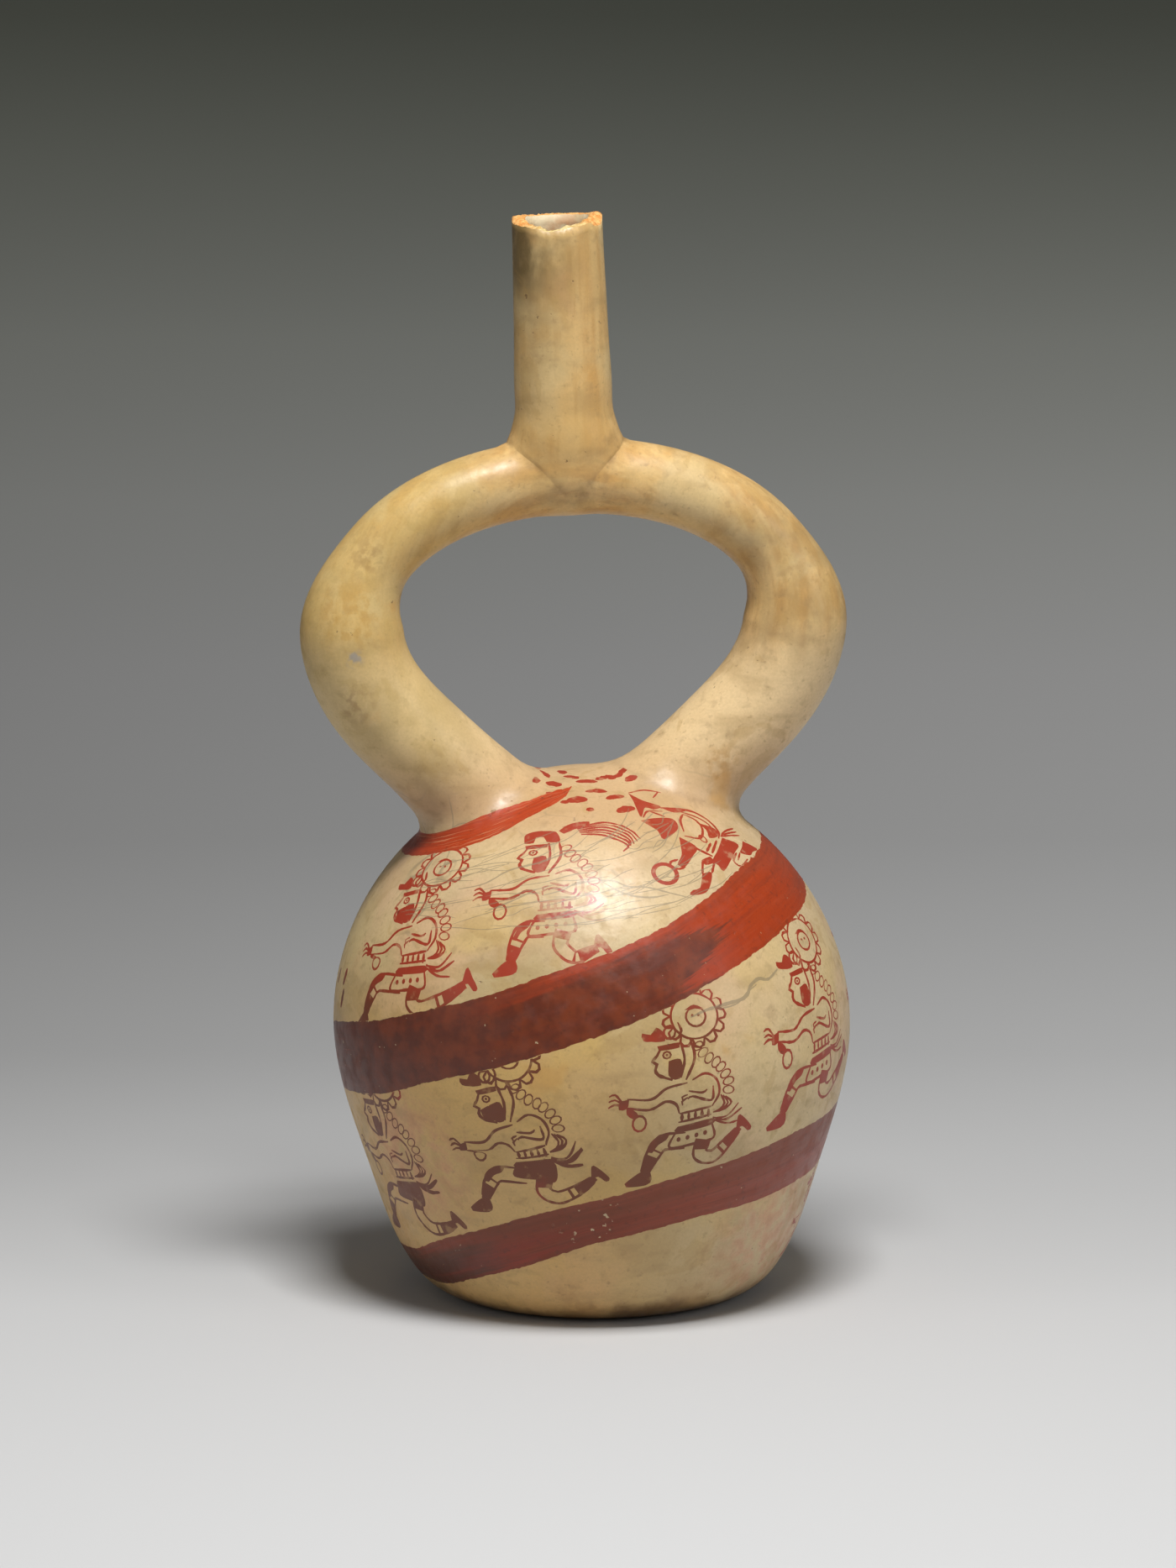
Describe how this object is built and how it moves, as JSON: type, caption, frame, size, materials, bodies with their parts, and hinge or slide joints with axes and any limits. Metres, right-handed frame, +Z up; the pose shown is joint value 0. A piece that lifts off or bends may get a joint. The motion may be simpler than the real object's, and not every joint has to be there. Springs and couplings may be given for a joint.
{
  "type": "stirrup-spout bottle",
  "caption": "Hollow fired-clay bottle: an egg-shaped body on a flat base, a stirrup arch and one straight spout.",
  "frame": {"origin": "centre of the flat base that the bottle stands on", "axes": "+Z up along the body's axis; -Y is the front, with the arch running left to right"},
  "size_m": [0.1416, 0.1336, 0.2821],
  "materials": {
    "clay": "cream slip over fired clay, hand burnished to a satin gloss, painted in red-brown slip"
  },
  "bodies": {
    "root": {"bottle": "clay"}
  },
  "joints": []
}
